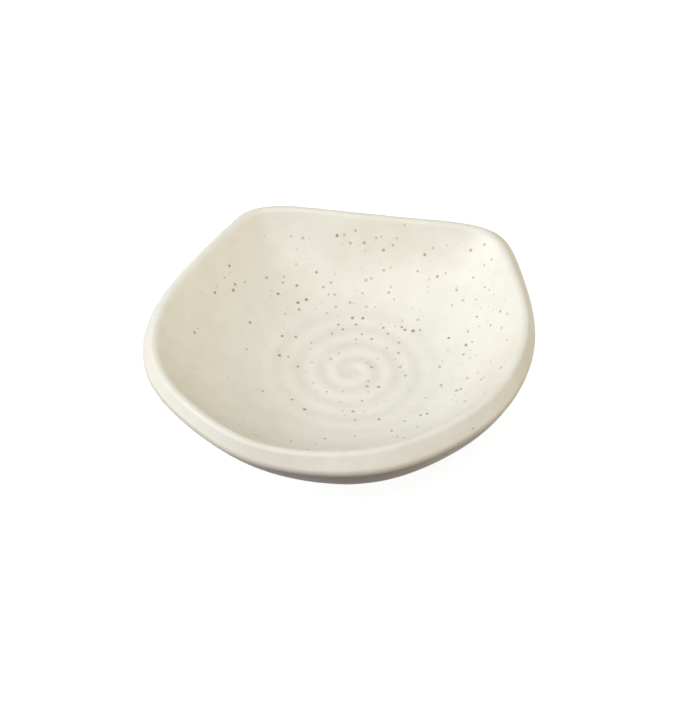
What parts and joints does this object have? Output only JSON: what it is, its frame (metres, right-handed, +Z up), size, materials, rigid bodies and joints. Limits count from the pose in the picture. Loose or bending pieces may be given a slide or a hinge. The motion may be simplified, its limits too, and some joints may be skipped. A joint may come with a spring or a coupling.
{
  "type": "small bowl",
  "caption": "Low hand-thrown stoneware bowl with a softly pressed, many-sided rim, a spiral throwing ridge in its floor, a cream glaze and a bare foot ring, for serving food.",
  "frame": {"origin": "on the table, under the middle of the bowl's outline; the foot ring's axis lies a little to the right of it and behind it, because the rim is pressed out of round", "axes": "+Z up out of the bowl, +X to the right of someone facing the pictured front, +Y away from them"},
  "size_m": [0.1184, 0.1162, 0.0331],
  "materials": {
    "stoneware": "matte",
    "cream_glaze": "satin"
  },
  "bodies": {
    "root": {"clay_body": "stoneware", "glaze_coat": "cream_glaze", "foot_ring": "stoneware"}
  },
  "joints": []
}
